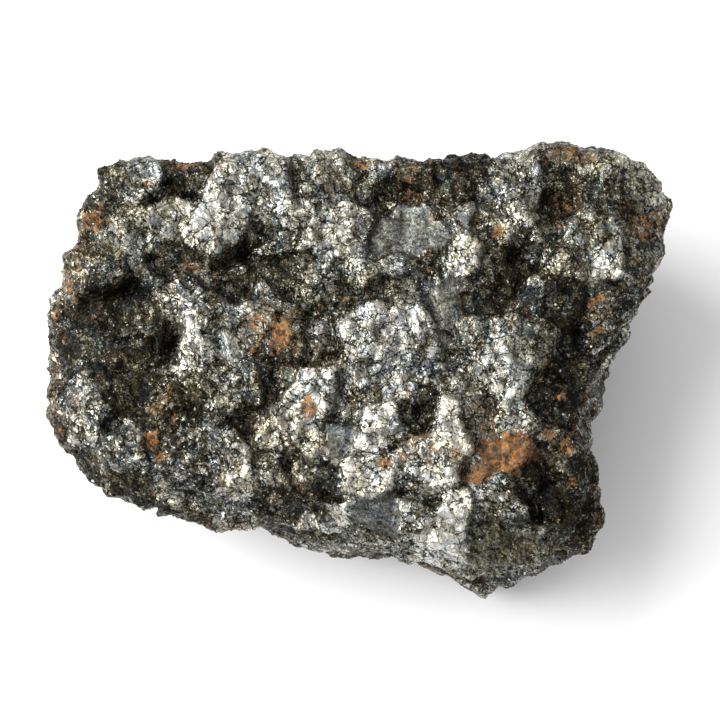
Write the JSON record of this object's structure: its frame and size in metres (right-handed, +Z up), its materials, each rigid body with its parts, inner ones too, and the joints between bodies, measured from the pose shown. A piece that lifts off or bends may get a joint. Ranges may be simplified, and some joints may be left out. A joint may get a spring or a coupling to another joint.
{
  "type": "arsenopyrite specimen",
  "caption": "Rough, broken block of massive silver-grey metallic ore with a ragged upper face, stained brown in patches, lying on a small flat spot.",
  "frame": {"origin": "middle of the specimen's bounding box, on the surface it rests on", "axes": "+X along the longest extent, +Y towards the back edge of the broken face, +Z up, out of the broken face"},
  "size_m": [0.1047, 0.0745, 0.0468],
  "materials": {
    "ore_stone": "fine-grained metallic ore, silver-grey with olive, brown and rust stains"
  },
  "bodies": {
    "root": {"ore_stone": "ore_stone"}
  },
  "joints": []
}
